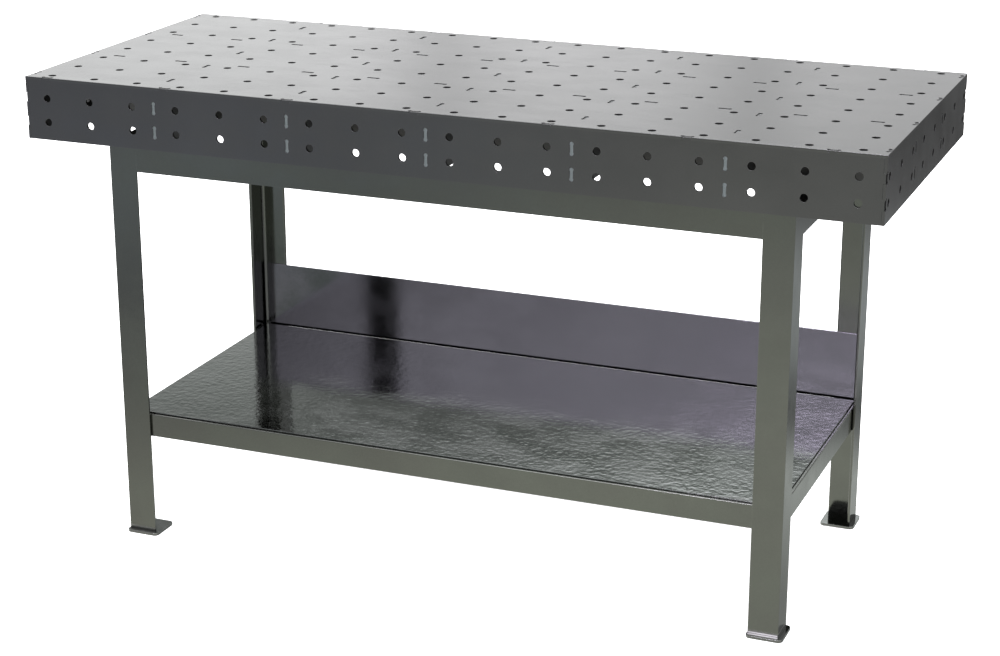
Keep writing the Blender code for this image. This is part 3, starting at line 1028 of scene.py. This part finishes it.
def front_surroundings(nodes, across, up, above):
    """The side of the viewer: dimmer walls at the left, and a dim patch on the ground."""
    left = nodes.ramp(up, FRONT_LEFT_SWEEP + FRONT_WALL, -1.0, 1.0)
    right = nodes.ramp(up, FRONT_RIGHT_SWEEP + FRONT_WALL, -1.0, 1.0)
    front = nodes.mix_colour(nodes.spread(across, -0.46, -0.26), left, right)
    dimmer_left = nodes.spread(across, -0.46, -0.36, 0.35, 1.0)
    front = nodes.multiplied(front, nodes.mix_colour(above, WHITE, dimmer_left))
    patch = nodes.math("MULTIPLY", nodes.window(across, *PATCH_ACROSS),
                       nodes.window(up, *PATCH_HEIGHT))
    return nodes.multiplied(front, nodes.mix_colour(patch, WHITE, PATCH_SHARE))


def rear_surroundings(nodes, across, up, above):
    """The side behind the table: a dark part on the ground, and walls of soft panels."""
    left = nodes.ramp(up, OUTER_REAR_SWEEP + REAR_LEFT_WALL, -1.0, 1.0)
    outer = nodes.ramp(up, OUTER_REAR_SWEEP + REAR_WALL, -1.0, 1.0)
    right = nodes.ramp(up, REAR_SWEEP + REAR_WALL, -1.0, 1.0)
    right = nodes.mix_colour(nodes.window(across, *DARK_REAR_ACROSS), outer, right)
    rear = nodes.mix_colour(nodes.spread(across, -0.455, -0.405), left, right)
    stops = [(place, brightness, WHITE) for place, brightness in REAR_PANELS]
    panels = nodes.ramp(across, stops, -0.5, 0.0)
    corner = nodes.spread(across, -0.36, -0.26, 1.0, 1.4)
    corner = nodes.math("MULTIPLY", corner, nodes.spread(across, -0.10, 0.15, 1.0, 0.25))
    share = nodes.mix_colour(nodes.spread(up, 0.25, 0.30), panels, corner)
    return nodes.multiplied(rear, nodes.mix_colour(above, WHITE, share))


def add_world():
    """Soft studio light by direction; the camera itself sees plain white behind the table."""
    world = bpy.data.worlds.new("studio")
    world.use_nodes = True
    bpy.context.scene.world = world
    nodes = Nodes(world.node_tree)
    direction = nodes.add("ShaderNodeTexCoord").outputs["Generated"]
    across, along, up = nodes.separated(direction)
    above = nodes.spread(up, -0.05, 0.05)

    front = front_surroundings(nodes, across, up, above)
    rear = rear_surroundings(nodes, across, up, above)
    surroundings = nodes.mix_colour(nodes.spread(along, -0.3, 0.3), front, rear)
    bright_left = nodes.spread(across, -0.95, -0.65, 2.0, 1.0)
    surroundings = nodes.multiplied(surroundings, nodes.mix_colour(above, bright_left, WHITE))
    key = nodes.dot(direction, Vector(KEY_DIRECTION).normalized())
    glow = nodes.spread(key, *KEY_BORDER, 0.0, KEY_BRIGHTNESS)
    surroundings = nodes.mix_colour(1.0, surroundings, nodes.multiplied(glow, KEY_COLOUR), "ADD")

    camera_ray = nodes.add("ShaderNodeLightPath").outputs["Is Camera Ray"]
    background = world.node_tree.nodes["Background"]
    nodes.link(nodes.mix_colour(camera_ray, surroundings, WHITE), background.inputs["Color"])
    background.inputs["Strength"].default_value = 1.0


# The view from the front, a little from the right and above, through a long lens.
CAMERA_PLACE = (1.7078, -4.2544, 1.9917)
CAMERA_TILT = 71.472
CAMERA_TURN = 21.811
CAMERA_LENS = 81.10
CAMERA_SENSOR = 36.0


def add_camera():
    data = bpy.data.cameras.new("camera")
    data.lens = CAMERA_LENS
    data.sensor_width = CAMERA_SENSOR
    camera = bpy.data.objects.new("camera", data)
    camera.location = CAMERA_PLACE
    camera.rotation_euler = (math.radians(CAMERA_TILT), 0.0, math.radians(CAMERA_TURN))
    bpy.context.scene.collection.objects.link(camera)
    bpy.context.scene.camera = camera


# ---------------------------------------------------------------- main


def build_table():
    # inside= gives these sheets painted shade on their inner faces and on the walls of their holes
    # and slots.
    top_steel = steel("top_plate_steel", TOP_COLOUR, 0.17, grain=(0.15, 1.0, 1.0), blotch=0.03,
                      smudge=0.02, edge_gain=1.1, warp=0.002, inside=Z_AXIS)
    side_steel = steel("side_sheet_steel", SKIRT_COLOUR, 0.17, edge_gain=1.2, inside=Y_AXIS)
    end_steel = steel("end_sheet_steel", SKIRT_COLOUR, 0.17, edge_gain=1.2, inside=X_AXIS)
    rib_steel = steel("rib_steel", RIB_COLOUR, 0.50)
    frame_steel = steel("angle_steel", ANGLE_COLOUR, 0.14, tint=ANGLE_TINT)
    front_leg_steel = steel("front_leg_steel", ANGLE_COLOUR, 0.14, tint=ANGLE_TINT,
                            band=FOOT_WELD_BAND)
    shelf_steel = steel("shelf_sheet_steel", SHELF_COLOUR, 0.10, ripple=SHELF_RIPPLE, warp=0.003)
    panel_steel = steel("panel_sheet_steel", PANEL_COLOUR, 0.13, warp=0.003)
    foot_steel = steel("foot_plate_steel", FOOT_COLOUR, 0.10)
    weld = weld_material()

    build_top_plate(top_steel)
    build_skirts(side_steel, end_steel)
    build_ribs(rib_steel)
    build_slot_welds(weld)
    build_legs(front_leg_steel, frame_steel)
    build_top_rails(frame_steel)
    build_shelf_rails(frame_steel)
    build_thin_sheets(shelf_steel, panel_steel)
    build_feet(foot_steel)


build_table()
add_camera()
add_floor()
add_world()
bpy.context.scene.view_settings.view_transform = "Standard"
